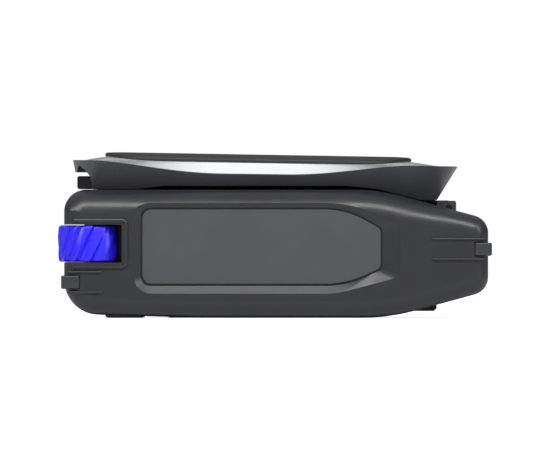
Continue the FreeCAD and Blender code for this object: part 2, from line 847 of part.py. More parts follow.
def wheel_shape():
    """Thumbwheel with twisted fins, slightly fuller at mid height, bored for its shaft."""
    height = size("wheel_high") - size("wheel_low")
    levels = 8
    edge = 0.05  # share of the height taken by the drawn-in rims
    drawn_in = 0.965
    stations = [0.0, edge] + [edge + (1 - 2 * edge) * k / levels for k in range(1, levels)] + [1 - edge, 1.0]
    sections = []
    for station in stations:
        bulge = 1 - size("wheel_bulge") / size("wheel_radius") * (2 * station - 1) ** 2
        easing = drawn_in if station in (0.0, 1.0) else 1.0
        sections.append(fin_section(station * height, bulge * easing, station * size("fin_twist")))
    solid = Part.makeLoft(sections, True, True)
    return solid.cut(Part.makeCylinder(size("shaft_radius"), height + 2, Vector(0, 0, -1)))


def wheels():
    shape = wheel_shape()
    for side, sign in (("left", 1), ("right", -1)):
        wheel = feature(f"{side}_wheel", shape)
        foot = Vector(size("wheel_x"), sign * size("wheel_y"), size("wheel_low"))
        wheel.Placement = Placement(foot, Rotation())
        node(wheel, f"{side}_wheel")
        shaft = cylinder(f"{side}_wheel_shaft", "shaft_radius", ("wheel_x", f"{sign} * wheel_y", "shaft_low"),
                         "shaft_high - shaft_low")
        node(shaft, f"{side}_wheel_shaft")
        body = box(f"{side}_encoder_body", ("wheel_x - encoder_half", "wheel_x + encoder_half"),
                   (f"{sign} * wheel_y - encoder_half", f"{sign} * wheel_y + encoder_half"),
                   ("shaft_low - encoder_floor", "slot_low - pocket_wall"))
        bore = cylinder(f"{side}_encoder_bore", "shaft_radius + run_gap",
                        ("wheel_x", f"{sign} * wheel_y", "shaft_low - run_gap"), "slot_low - shaft_low")
        node(cut(f"{side}_wheel_encoder", body, [bore]), f"{side}_wheel_encoder")


# ---------------------------------------------------------------- rear control group

def control_holes(name, depth):
    """Openings for the display, power jack and keys, through a wall or plate behind the rear recess."""
    start = "recess_floor - bezel_thick - cut_margin"
    through_x = (start, f"recess_floor + {depth}")
    holes = [
        box(f"{name}_display_hole", through_x,
            ("-display_half", "display_half"), ("display_low", "display_high")),
        box(f"{name}_jack_hole", through_x,
            ("jack_y - jack_thick / 2 - fit_gap", "jack_y + jack_thick / 2 + fit_gap"),
            ("jack_low - fit_gap", "jack_low + jack_height + fit_gap")),
    ]
    for index, z in enumerate(("button_low", "button_high")):
        holes.append(cylinder(f"{name}_button_hole_{index}", "button_radius + fit_gap", (start, "button_y", z),
                              f"bezel_thick + cut_margin + {depth}", "x"))
    return holes


def rear_controls():
    """Bezel, display, board, two keys with their switches, and the power jack."""
    gap = "fit_gap"
    front = "recess_floor - bezel_thick"
    back = "recess_floor + pocket_wall"
    plate = box("bezel_plate", (front, "recess_floor"),
                ("-pocket_inner + bezel_margin", "pocket_inner - bezel_margin"),
                ("slot_low + bezel_margin", "slot_high - bezel_margin"))
    node(cut("rear_bezel", plate, control_holes("bezel", "cut_margin")), "rear_bezel")
    node(box("display_window", (f"{front} + {gap}", back),
             (f"-display_half + {gap}", f"display_half - {gap}"),
             (f"display_low + {gap}", f"display_high - {gap}")), "display_window")
    node(box("display_module", (f"{back} + run_gap", "rear_board_x"),
             ("-display_half - module_margin", "display_half + module_margin"),
             ("display_low - module_margin", "display_high + module_margin")), "display_module")
    board = box("rear_board_plate", ("rear_board_x", "rear_board_x + board_thick"),
                ("-rear_board_half", "rear_board_half"), ("rear_board_low", "rear_board_high"))
    slot = box("rear_board_slot", ("rear_board_x - cut_margin", "rear_board_x + board_thick + cut_margin"),
               (f"jack_y - jack_thick / 2 - {gap}", "rear_board_half + cut_margin"),
               (f"jack_low - {gap}", f"jack_low + jack_height + {gap}"))
    node(cut("rear_board", board, [slot]), "rear_board")
    for label, z in (("mute_button", "button_low"), ("menu_button", "button_high")):
        stem = cylinder(label + "_cap", "button_radius", (f"{front} - button_proud", "button_y", z),
                        f"bezel_thick + button_proud + pocket_wall + {gap}", "x")
        collar = cylinder(label + "_collar", "button_radius + collar_width", (f"{back} + {gap}", "button_y", z),
                          "collar_thick", "x")
        node(fuse(label, [stem, collar]), label)
        switch = box(f"{label}_switch_body",
                     (f"{back} + {gap} + collar_thick + button_travel + run_gap", "rear_board_x"),
                     ("button_y - switch_half", "button_y + switch_half"),
                     (f"{z} - switch_half", f"{z} + switch_half"))
        node(switch, f"{label}_switch")
    node(power_jack(), "power_jack")


def power_jack():
    """Open metal shell with a flat tongue inside, set in the rear recess."""
    front = "recess_floor - bezel_thick + jack_inset"
    shell = box("jack_shell", (front, f"{front} + jack_length"),
                ("jack_y - jack_thick / 2", "jack_y + jack_thick / 2"), ("jack_low", "jack_low + jack_height"))
    mouth = box("jack_mouth", (f"{front} - cut_margin", f"{front} + jack_length - jack_tongue_margin"),
                ("jack_y - jack_thick / 2 + jack_wall", "jack_y + jack_thick / 2 - jack_wall"),
                ("jack_low + jack_wall", "jack_low + jack_height - jack_wall"))
    tongue = box("jack_tongue", (f"{front} + jack_tongue_margin", f"{front} + jack_length - jack_wall"),
                 ("jack_y - tongue_half", "jack_y + tongue_half"),
                 ("jack_low + jack_tongue_margin", "jack_low + jack_height - jack_tongue_margin"))
    return fuse("power_jack", [cut("jack_hollow", shell, [mouth]), tongue])


# ---------------------------------------------------------------- inside

# Parts soldered to the main board: name, x span, y span and height
BOARD_PARTS = (
    ("processor_shield", (-32, -10), (-24, -4), 3.0),
    ("radio_shield", (2, 27), (-15, 15), 5.0),
    ("gps_antenna", (-30, -12), (4, 22), 4.5),
)


def electronics():
    """Main board with its parts, the speaker, the laser sensor, the horn and all the inner screws."""
    plate = box("main_board_plate", ("board_rear", "board_front"), ("-board_half", "board_half"),
                ("board_low", "board_low + board_thick"))
    holes = []
    for index, (x, y) in enumerate(screw_places("post_rear_x", "post_x", "post_y")):
        holes.append(cylinder(f"board_hole_{index}", "screw_radius", (x, y, "board_low - cut_margin"),
                              "board_thick + 2 * cut_margin"))
    node(cut("main_board", plate, holes), "main_board")
    top = "board_low + board_thick"
    for label, (rear, front), (right, left), height in BOARD_PARTS:
        node(box(label, (f"{rear}", f"{front}"), (f"{right}", f"{left}"), (top, f"{top} + {height}")), label)
    node(cylinder("backup_cell", "cell_radius", ("cell_x", "cell_y", f"{top} + cell_radius"), "cell_length", "x"),
         "backup_cell")
    cone_face = ("speaker_x", "0", "cover_thick + speaker_gap")
    speaker = cylinder("speaker_basket", "speaker_radius", cone_face, "speaker_deep / 2")
    magnet = cylinder("speaker_magnet", "magnet_radius", cone_face, "speaker_deep")
    node(fuse("speaker", [speaker, magnet]), "speaker")
    sensor_low = "window_low + wall_thick + fit_gap"
    node(box("laser_sensor", ("body_nose - window_thick - sensor_deep", "body_nose - window_thick - fit_gap"),
             ("-sensor_half", "sensor_half"), (sensor_low, f"{sensor_low} + sensor_height")), "laser_sensor")
    node(horn(), "horn_antenna")
    node(ribbon(), "display_ribbon")
    screws("board_screws", screw_places("post_rear_x", "post_x", "post_y"), "board_low - board_screw_deep",
           "board_screw_deep + board_thick", head_at_low=False)
    screws("cover_screws", screw_places("cover_screw_rear", "cover_screw_front", "cover_screw_half"),
           "head_sink - sunk_head", "cover_screw_length")


def horn():
    """Flared rectangular horn, open at the front, closed by its feed block at the back."""

    def frame_at(x, grow):
        share = (x - size("horn_back")) / (size("horn_mouth") - size("horn_back"))
        half = size("horn_throat_half") + share * (size("horn_half") - size("horn_throat_half")) - grow
        low = size("horn_low") + grow
        tall = size("horn_throat_height")
        high = size("horn_low") + tall + share * (size("horn_high") - size("horn_low") - tall) - grow
        corners = [(-half, low), (half, low), (half, high), (-half, high)]
        points = [Vector(x, y, z) for y, z in corners]
        return Part.makePolygon(points + points[:1])

    wall = size("horn_wall")
    back, mouth = size("horn_back"), size("horn_mouth")
    outer = Part.makeLoft([frame_at(back, 0), frame_at(mouth, 0)], True, True)
    inner_back = back + size("horn_back_wall")
    inner = Part.makeLoft([frame_at(inner_back, wall), frame_at(mouth + wall, wall)], True, True)
    return feature("horn", outer.cut(inner))


def ribbon():
    """Flat cable from the rear board down and forward to the main board."""
    thick, half = size("ribbon_thick"), size("ribbon_half")
    corner = Vector(size("rear_board_x") + size("board_thick"), -half, size("board_low") + size("board_thick"))
    run_length = size("board_rear") + size("ribbon_overlap") - corner.x
    drop = Part.makeBox(thick, 2 * half, size("ribbon_drop"), corner)
    run = Part.makeBox(run_length, 2 * half, thick, corner)
    return feature("ribbon", drop.fuse(run).removeSplitter())


# ---------------------------------------------------------------- windscreen mount

def bracket_screw_places():
    """The two screws of the hinge bracket, as expression pairs."""
    x = "hinge_pocket_back + bracket_screw_inset"
    return [(x, "bracket_half - bracket_screw_edge"), (x, "-bracket_half + bracket_screw_edge")]


def hinge():
    """Bracket with two ears in the housing's hinge pocket, and the pin through ears and arm."""
    gap = "fit_gap"
    base = box("bracket_base", (f"hinge_pocket_back + {gap}", f"hinge_pocket_front - {gap}"),
               ("-bracket_half", "bracket_half"), ("hinge_pocket_floor", "hinge_pocket_floor + bracket_thick"))
    solids = [base]
    ear_top = "hinge_z + knuckle_radius - fit_gap"
    for name, sign in sides("ear"):
        y = span(sign, f"arm_half + 2 * {gap}", "bracket_half")
        ear = box(name + "_block", ("heel_front", "hinge_x + knuckle_radius"), y,
                  ("hinge_pocket_floor", ear_top))
        top_edge = through("y", size("hinge_x") + size("knuckle_radius"),
                           size("hinge_z") + size("knuckle_radius") - size("fit_gap"))
        solids.append(rounded_part(ear, "ear_round", top_edge))
    pin_hole = cylinder("bracket_bore", "hinge_pin_radius", ("hinge_x", "-bracket_half - cut_margin", "hinge_z"),
                        "2 * (bracket_half + cut_margin)", "y")
    places = bracket_screw_places()
    holes = [cylinder(f"bracket_hole_{index}", "screw_radius", (x, y, "hinge_pocket_floor - cut_margin"),
                      "bracket_thick + 2 * cut_margin") for index, (x, y) in enumerate(places)]
    node(cut("hinge_bracket", fuse("bracket_solid", solids), [pin_hole] + holes), "hinge_bracket")
    pin = cylinder("hinge_pin", "hinge_pin_radius", ("hinge_x", "-bracket_half", "hinge_z"),
                   "2 * bracket_half", "y")
    node(pin, "hinge_pin")
    screws("bracket_screws", places, "hinge_pocket_floor - bracket_screw_deep",
           "bracket_screw_deep + bracket_thick", head_at_low=False)


def ease(share):
    """Smooth step from 0 to 1."""
    share = min(max(share, 0.0), 1.0)
    return share * share * (3 - 2 * share)


def deck_z(x):
    """Height of the mount's deck before its crown, falling gently towards the front."""
    return size("deck_height") - math.tan(math.radians(size("mount_tilt"))) * x


def swell(name, x):
    """Smooth share along the mount: 0 beyond a feature's ends, 1 over its full stretch."""
    rise = ease((x - size(f"{name}_rear")) / (size(f"{name}_rear_full") - size(f"{name}_rear")))
    fall = ease((size(f"{name}_front") - x) / (size(f"{name}_front") - size(f"{name}_front_full")))
    return min(rise, fall)


def rim_z(x):
    """Height of the skirt's rim: level with the deck at the ends, dipping between them."""
    return deck_z(x) - size("rim_dip") * swell("dip", x)


def deck_point(x, y):
    """Height of the crowned top surface between the rim and the deck."""
    share = (size("rim_half") - y) / (size("rim_half") - size("deck_half"))
    return rim_z(x) + min(share, 1.0) * (deck_z(x) - rim_z(x))


def mount_sections(section):
    """Smooth solid through cross-sections spaced along the mount."""
    stations = 25
    first, last = size("mount_rear"), size("mount_front")
    wires = []
    for index in range(stations):
        x = first + (last - first) * index / (stations - 1)
        points = [Vector(x, y, z) for y, z in section(x)]
        wires.append(Part.makePolygon(points + points[:1]))
    return Part.makeLoft(wires, True, False)


def mirrored_section(half_points):
    """Closed section from its right-hand points, listed from the top downwards."""
    return half_points + [(-y, z) for y, z in reversed(half_points)]


def crown_section(top, bottom):
    """Section of a slab that follows the crowned top, between two heights above it."""

    def section(x):
        edge = size("crest_half") + 4.0
        flat, half = size("deck_flat_half"), size("deck_half")
        rise = size("deck_crown") * swell("crown", x)
        crown = [(flat, deck_z(x) + rise), ((flat + half) / 2, deck_z(x) + 0.57 * rise),
                 (half, deck_z(x)), (edge, deck_point(x, edge))]
        upper = [(y, z + top) for y, z in crown]
        lower = [(y, z + bottom) for y, z in reversed(crown)]
        return mirrored_section(upper + lower)

    return section


def crown_slab(top, bottom):
    return mount_sections(crown_section(top, bottom))


def plan_wire(rear, front, half, corner, height):
    """Rounded rectangle in plan."""
    wire = rounded_wire([(rear, -half, corner), (rear, half, corner), (front, half, corner),
                         (front, -half, corner)], 0.0)
    wire.rotate(Vector(), Vector(1, 0, 0), 90)
    wire.translate(Vector(0, 0, height))
    return wire


def flared_hull(inset):
    """The skirt's outer walls, widening upwards, drawn in by an inset all round."""
    base = plan_wire(size("base_rear") + inset, size("heel_front") - inset, size("base_half") - inset,
                     size("base_corner") - inset, size("skirt_base"))
    crest = plan_wire(size("crest_rear") + inset, size("crest_front") - inset, size("crest_half") - inset,
                      size("crest_corner") - inset, size("crest_height"))
    return Part.makeLoft([base, crest], True, True)


def prism(points, half=60.0):
    """Solid across the object from (x, z) corners."""
    corners = [Vector(x, -half, z) for x, z in points]
    return Part.Face(Part.makePolygon(corners + corners[:1])).extrude(Vector(0, 2 * half, 0))


def under_mount():
    """Everything below the skirt's lower edge, which follows the top of the housing."""
    rear, front = size("mount_rear") - 5, size("heel_front")
    heel = size("skirt_heel")
    floor, close, raised = 20, size("body_top") + size("skirt_gap"), size("skirt_bottom")
    gap_rear, gap_front, slope = size("gap_rear"), size("gap_front"), size("gap_slope")
    return prism([
        (rear, floor), (rear, close), (gap_rear, close), (gap_rear + slope, raised), (gap_front - slope, raised),
        (gap_front, close), (front - size("heel_slope"), heel), (front + 3, heel), (front + 3, floor),
    ])


def hinge_arm():
    """Flat arm from the skirt's heel to the hinge, with its knuckle."""
    half = size("arm_half")
    x, z = size("hinge_x"), size("hinge_z")
    top = z + size("knuckle_radius")
    root_front = size("heel_front") - size("arm_overlap")
    root_rear = root_front - size("arm_root")
    root_top = size("arm_root_top")
    arm = prism([(root_rear, z - size("arm_root_drop")), (x, z - size("arm_drop")), (x, top), (root_front, top),
                 (root_front, root_top), (root_rear, root_top)], half)
    knuckle = Part.makeCylinder(size("knuckle_radius") - size("arm_gap"), 2 * half, Vector(x, -half, z),
                                Vector(0, 1, 0))
    return arm.fuse(knuckle)


# Side profiles at the mount's rear end, as x and z: the notch through it, the gap above, the rib across that gap
REAR_NOTCH = ((-64.7, 20), (-64.7, 43.8), (-56.5, 43.8), (-55.4, 42.4), (-55.0, 40.7), (-55.3, 20))
REAR_GUSSET = ((-59.5, 43.7), (-59.3, 44.6), (-58.7, 45.9), (-56.4, 43.7))
REAR_RIB = ((-60.5, 43.8), (-60.5, 46.0), (-54.0, 46.0), (-54.0, 43.8))


def mount_frame():
    """Flared skirt under the deck, open below, with the hinge arm at its front."""
    deep = -size("skirt_deep")
    deck_under = -size("inlay_thick") - size("skirt_wall")
    hollow = flared_hull(size("skirt_wall")).common(crown_slab(deck_under, deep))
    rib = prism(REAR_RIB, size("bar_half") - 7).common(flared_hull(size("skirt_wall") / 2))
    frame = flared_hull(0.0).common(crown_slab(0.0, deep)).cut(hollow).cut(prism(REAR_NOTCH))
    frame = frame.cut(prism(REAR_GUSSET)).fuse(rib).cut(under_mount())
    frame = frame.cut(flared_hull(size("inlay_margin")).common(crown_slab(2.0, -size("inlay_thick"))))
    x, z, half = size("hinge_x"), size("hinge_z"), size("arm_half")
    bore = Part.makeCylinder(size("hinge_pin_radius") + size("run_gap"), 4 * half, Vector(x, -2 * half, z),
                             Vector(0, 1, 0))
    node(feature("mount_frame", frame.fuse(hinge_arm()).cut(bore)), "mount_frame")


def mount_inlay():
    """Thin glossy plate let into the crowned top of the frame."""
    layer = flared_hull(size("inlay_margin")).common(crown_slab(0.0, -size("inlay_thick")))
    node(feature("mount_inlay", layer), "mount_inlay")


def mount_pad():
    """Long adhesive pad with round ends, following the crowned deck, with a flat band along its top."""
    outline = plan_wire(size("pad_rear"), size("pad_front"), size("pad_half"), size("pad_half") - 2, 0.0)
    column = Part.Face(outline).extrude(Vector(0, 0, 60))
    seat, top = size("pad_seat"), size("pad_thick") + 0.5
    skim = size("deck_height") + size("deck_crown") + size("pad_thick")
    fall = math.tan(math.radians(size("mount_tilt")))
    below = prism([(-80, 30), (80, 30), (80, skim - 80 * fall), (-80, skim + 80 * fall)])
    node(feature("mount_pad", column.common(crown_slab(seat, top)).common(below)), "mount_pad")


def rest_pad():
    """Soft pad on top of the housing that fills the space under the mount, notched round its tab."""
    column = box("rest_column", ("rest_rear", "rest_front"), ("-rest_half", "rest_half"),
                 ("rest_low", "rest_high"))
    notch = box("rest_tab_notch", ("rest_notch", "rest_front + cut_beyond"),
                ("-arm_half - rest_notch_gap", "arm_half + rest_notch_gap"),
                ("rest_low - cut_beyond", "rest_high + cut_beyond"))
    node(cut("rest_pad", column, [block_copy("rest_pad_seat"), notch]), "rest_pad")


def mount_bar():
    """Cross bar in the open rear end of the mount, rounded along its top."""
    body = padded_body("rear_cross_bar", "XZ_Plane",
                       [("bar_rear", "bar_low"), ("bar_front", "bar_low"), ("bar_front", "bar_high"),
                        ("bar_rear", "bar_high")], "2 * bar_half", symmetric=True)
    dress(body, "Fillet", "bar_round", lambda edge: any(
        through("y", size(x), size(z))(edge) for x in ("bar_rear", "bar_front") for z in ("bar_low", "bar_high")))
    node(body, "rear_cross_bar")


# ---------------------------------------------------------------- build, check, export

def all_parts():
    main_housing()
    bottom_cover()
    for name, sign in sides("side_panel"):
        side_panel(name, sign)
    feet()
    corner_clips()
    end_covers()
    wheels()
    rear_controls()
    electronics()
    hinge()
    mount_frame()
    mount_inlay()
    mount_pad()
    mount_bar()
    rest_pad()


def check():
    """Stop on any failed object and any sub-part without a valid solid."""
    for obj in doc.Objects:
        if {"Invalid", "Error"} & set(obj.State):
            raise SystemExit(f"{obj.Name} failed: {obj.State}")
    for obj in nodes:
        if obj.Shape.isNull() or not obj.Shape.isValid() or not obj.Shape.Solids:
            raise SystemExit(f"{obj.Label} has no valid solid")


def export():
    os.makedirs("parts", exist_ok=True)
    for obj in nodes:
        obj.Shape.exportStep(f"parts/{obj.Label}.step")
        print(f"{obj.Label}: {len(obj.Shape.Solids)} solid(s), {obj.Shape.Volume:.1f} mm3")


all_parts()
doc.recompute()
check()
export()
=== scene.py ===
import json
import math

import bmesh
import bpy
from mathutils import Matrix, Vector

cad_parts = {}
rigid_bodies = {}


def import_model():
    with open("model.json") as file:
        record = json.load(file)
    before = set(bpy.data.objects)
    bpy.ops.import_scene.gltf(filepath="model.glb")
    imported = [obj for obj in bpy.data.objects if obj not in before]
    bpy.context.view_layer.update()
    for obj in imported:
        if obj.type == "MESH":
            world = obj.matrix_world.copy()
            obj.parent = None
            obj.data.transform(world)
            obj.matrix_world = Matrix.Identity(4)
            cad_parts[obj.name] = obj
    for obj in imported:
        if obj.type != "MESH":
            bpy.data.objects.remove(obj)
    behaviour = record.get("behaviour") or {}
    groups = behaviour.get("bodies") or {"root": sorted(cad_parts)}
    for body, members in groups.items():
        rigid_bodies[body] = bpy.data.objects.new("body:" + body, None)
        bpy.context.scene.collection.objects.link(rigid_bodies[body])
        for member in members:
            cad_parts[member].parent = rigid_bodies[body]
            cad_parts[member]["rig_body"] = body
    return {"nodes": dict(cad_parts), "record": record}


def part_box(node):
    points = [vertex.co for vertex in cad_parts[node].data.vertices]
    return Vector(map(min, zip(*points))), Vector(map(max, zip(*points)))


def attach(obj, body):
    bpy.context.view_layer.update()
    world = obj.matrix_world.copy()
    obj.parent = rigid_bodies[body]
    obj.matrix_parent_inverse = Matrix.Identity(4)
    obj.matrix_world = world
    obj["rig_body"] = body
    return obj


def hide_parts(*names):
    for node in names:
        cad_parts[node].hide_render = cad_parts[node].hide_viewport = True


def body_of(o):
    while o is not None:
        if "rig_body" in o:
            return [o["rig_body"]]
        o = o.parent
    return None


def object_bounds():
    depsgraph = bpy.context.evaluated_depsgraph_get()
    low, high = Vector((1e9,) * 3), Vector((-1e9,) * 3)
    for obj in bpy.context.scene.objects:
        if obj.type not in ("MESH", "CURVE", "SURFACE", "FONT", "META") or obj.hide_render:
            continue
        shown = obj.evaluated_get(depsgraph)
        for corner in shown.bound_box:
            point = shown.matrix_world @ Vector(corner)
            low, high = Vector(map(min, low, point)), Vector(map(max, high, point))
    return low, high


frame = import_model()
cad_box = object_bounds()
MM = 0.001
SLOT_OF = {part["node"]: part["material_slot"] for part in frame["record"]["subparts"]}


# ---------------------------------------------------------------- material helpers

def material(name):
    """Empty node material with its output and principled shader."""
    made = bpy.data.materials.new(name)
    made.use_nodes = True
    tree = made.node_tree
    tree.nodes.clear()
    output = tree.nodes.new("ShaderNodeOutputMaterial")
    shader = tree.nodes.new("ShaderNodeBsdfPrincipled")
    tree.links.new(shader.outputs["BSDF"], output.inputs["Surface"])
    return made, tree, shader


EVEN = (1.0, 1.0, 1.0)
BRUSHED = (0.05, 1.0, 1.0)
STREAKED = (0.12, 1.0, 1.0)


def noise(tree, scale, detail=4.0, stretch=EVEN):
    """Noise over the piece's own coordinates, in metres, stretched along chosen axes."""
    place = tree.nodes.new("ShaderNodeTexCoord")
    shaped = tree.nodes.new("ShaderNodeMapping")
    shaped.inputs["Scale"].default_value = stretch
    node = tree.nodes.new("ShaderNodeTexNoise")
    node.inputs["Scale"].default_value = scale
    node.inputs["Detail"].default_value = detail
    node.inputs["Roughness"].default_value = 0.55
    tree.links.new(place.outputs["Object"], shaped.inputs["Vector"])
    tree.links.new(shaped.outputs["Vector"], node.inputs["Vector"])
    return node.outputs["Fac"]


def spread(tree, value, low, high, start=0.3, end=0.7):
    """Map part of a value's range to another range."""
    node = tree.nodes.new("ShaderNodeMapRange")
    node.inputs["From Min"].default_value = start
    node.inputs["From Max"].default_value = end
    node.inputs["To Min"].default_value = low
    node.inputs["To Max"].default_value = high
    tree.links.new(value, node.inputs["Value"])
    return node.outputs["Result"]


def shades(tree, value, dark, light):
    """Colour between two shades, picked by a 0 to 1 value."""
    node = tree.nodes.new("ShaderNodeMix")
    node.data_type = "RGBA"
    node.inputs[6].default_value = (*dark, 1.0)
    node.inputs[7].default_value = (*light, 1.0)
    tree.links.new(value, node.inputs[0])
    return node.outputs[2]


def bump(tree, height, strength, distance, under=None):
    """Surface relief, optionally laid over coarser relief."""
    node = tree.nodes.new("ShaderNodeBump")
    node.inputs["Strength"].default_value = strength
    node.inputs["Distance"].default_value = distance
    tree.links.new(height, node.inputs["Height"])
    if under is not None:
        tree.links.new(under, node.inputs["Normal"])
    return node.outputs["Normal"]


def added(tree, first, second):
    """Sum of two values."""
    node = tree.nodes.new("ShaderNodeMath")
    node.operation = "ADD"
    tree.links.new(first, node.inputs[0])
    tree.links.new(second, node.inputs[1])
    return node.outputs["Value"]


def finish(name, colour, roughness, vary=0.08, grain=2600.0, depth=0.03, waves=0.0, scuffs=0.03,
           stretch=EVEN, metallic=0.0, coat=0.0):
    """Procedural finish: cloudy colour, uneven gloss, fine grain, faint sink marks and light scuffs.

    depth and waves are relief heights in millimetres, scuffs is how much rougher worn streaks are.
    """
    made, tree, shader = material(name)
    dark = tuple(c * (1 - vary) for c in colour)
    light = tuple(min(1.0, c * (1 + vary)) for c in colour)
    cloud = spread(tree, noise(tree, 60.0), 0.0, 1.0)
    tree.links.new(shades(tree, cloud, dark, light), shader.inputs["Base Color"])
    handled = spread(tree, noise(tree, 210.0), roughness * 0.86, roughness * 1.14)
    streaks = spread(tree, noise(tree, 900.0, 2.0, STREAKED), 0.0, scuffs, 0.45, 0.95)
    tree.links.new(added(tree, handled, streaks), shader.inputs["Roughness"])
    relief = bump(tree, noise(tree, grain, 2.0, stretch), 0.6, depth * MM)
    if waves:
        relief = bump(tree, noise(tree, 70.0, 1.0), 0.35, waves * MM, relief)
    tree.links.new(relief, shader.inputs["Normal"])
    shader.inputs["Metallic"].default_value = metallic
    shader.inputs["Coat Weight"].default_value = coat
    shader.inputs["Coat Roughness"].default_value = 0.06
    return made


def lettering_free_display(name):
    """Dark glass of the display, with a faint grid of unlit cells behind it."""
    made, tree, shader = material(name)
    place = tree.nodes.new("ShaderNodeTexCoord")
    cells = tree.nodes.new("ShaderNodeTexBrick")
    cells.offset = 0.0
    cells.inputs["Scale"].default_value = 1200.0
    cells.inputs["Mortar Size"].default_value = 0.06
    cells.inputs["Brick Width"].default_value = 0.6
    cells.inputs["Row Height"].default_value = 0.6
    cells.inputs["Color1"].default_value = (0.010, 0.012, 0.018, 1)
    cells.inputs["Color2"].default_value = (0.012, 0.014, 0.020, 1)
    cells.inputs["Mortar"].default_value = (0.004, 0.004, 0.005, 1)
    tree.links.new(place.outputs["Object"], cells.inputs["Vector"])
    tree.links.new(cells.outputs["Color"], shader.inputs["Base Color"])
    tree.links.new(spread(tree, noise(tree, 300.0), 0.10, 0.22), shader.inputs["Roughness"])
    return made


def board_finish(name):
    """Green solder mask over faint copper runs."""
    made, tree, shader = material(name)
    place = tree.nodes.new("ShaderNodeTexCoord")
    runs = tree.nodes.new("ShaderNodeTexBrick")
    runs.inputs["Scale"].default_value = 260.0
    runs.inputs["Mortar Size"].default_value = 0.05
    runs.inputs["Color1"].default_value = (0.010, 0.085, 0.035, 1)
    runs.inputs["Color2"].default_value = (0.012, 0.105, 0.045, 1)
    runs.inputs["Mortar"].default_value = (0.035, 0.19, 0.080, 1)
    tree.links.new(place.outputs["Object"], runs.inputs["Vector"])
    tree.links.new(runs.outputs["Color"], shader.inputs["Base Color"])
    tree.links.new(spread(tree, noise(tree, 400.0), 0.28, 0.42), shader.inputs["Roughness"])
    tree.links.new(bump(tree, runs.outputs["Fac"], 0.5, 0.03 * MM), shader.inputs["Normal"])
    return made


FINISHES = {
    "housing_grey": finish("housing_grey", (0.0175, 0.018, 0.0225), 0.33, depth=0.012, waves=0.04),
    "panel_satin": finish("panel_satin", (0.052, 0.054, 0.060), 0.45, depth=0.015, waves=0.04),
    "mount_black": finish("mount_black", (0.058, 0.059, 0.066), 0.36, depth=0.015, waves=0.04),
    "inlay_white": finish("inlay_white", (0.86, 0.87, 0.89), 0.12, vary=0.015, depth=0.002, waves=0.03,
                          scuffs=0.03, coat=0.6),
    "pad_black": finish("pad_black", (0.012, 0.012, 0.0135), 0.50, vary=0.20, grain=1700.0, depth=0.10),
    "wheel_blue": finish("wheel_blue", (0.022, 0.012, 0.78), 0.30, vary=0.05, depth=0.020, scuffs=0.05),
    "window_smoked": finish("window_smoked", (0.012, 0.010, 0.013), 0.09, depth=0.001, waves=0.03, coat=0.5),
    "bezel_gloss": finish("bezel_gloss", (0.009, 0.009, 0.011), 0.10, depth=0.001, waves=0.03, coat=0.8),
    "steel": finish("steel", (0.55, 0.55, 0.56), 0.26, stretch=BRUSHED, metallic=1.0),
    "screw_black": finish("screw_black", (0.030, 0.030, 0.032), 0.34, metallic=0.7),
    "board_green": board_finish("board_green"),
    "shield_tin": finish("shield_tin", (0.62, 0.62, 0.60), 0.30, stretch=BRUSHED, metallic=1.0),
    "horn_cast": finish("horn_cast", (0.48, 0.48, 0.49), 0.45, grain=1500.0, depth=0.08, metallic=1.0),
    "gps_ceramic": finish("gps_ceramic", (0.60, 0.49, 0.35), 0.40, depth=0.04),
    "cell_sleeve": finish("cell_sleeve", (0.020, 0.080, 0.220), 0.24, depth=0.01, waves=0.08),
    "speaker_cone": finish("speaker_cone", (0.045, 0.045, 0.045), 0.70, vary=0.2, grain=2000.0, depth=0.10),
    "display_glass": lettering_free_display("display_glass"),
    "ribbon_tan": finish("ribbon_tan", (0.45, 0.22, 0.05), 0.22, stretch=BRUSHED, depth=0.02),
    "foot_rubber": finish("foot_rubber", (0.030, 0.031, 0.033), 0.66, vary=0.15, depth=0.05),
    "clip_black": finish("clip_black", (0.030, 0.031, 0.034), 0.30, depth=0.020),
    "switch_grey": finish("switch_grey", (0.095, 0.095, 0.100), 0.50, depth=0.03),
    "key_grey": finish("key_grey", (0.150, 0.150, 0.160), 0.35, depth=0.02),
    "cover_grey": finish("cover_grey", (0.034, 0.035, 0.038), 0.42, depth=0.035, waves=0.05),
}


# ---------------------------------------------------------------- shaping helpers

def piece(name, mesh, *nodes, smooth_below=35.0):
    """Turn a mesh in metres into the shown form of some nodes, with their finish and body."""
    for polygon in mesh.polygons:
        polygon.use_smooth = True
    mesh.set_sharp_from_angle(angle=math.radians(smooth_below))
    shown = bpy.data.objects.new(name, mesh)
    bpy.context.scene.collection.objects.link(shown)
    slot = SLOT_OF[nodes[0]]
    mesh.materials.clear()
    mesh.materials.append(FINISHES[slot])
    weighted = shown.modifiers.new("weighted", "WEIGHTED_NORMAL")
    weighted.keep_sharp = True
    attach(shown, body_of(frame["nodes"][nodes[0]])[0])
    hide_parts(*nodes)
    return shown


WELD = 0.002
FLAT_ANGLE = math.radians(0.4)
SHARP_ANGLE = math.radians(28.0)


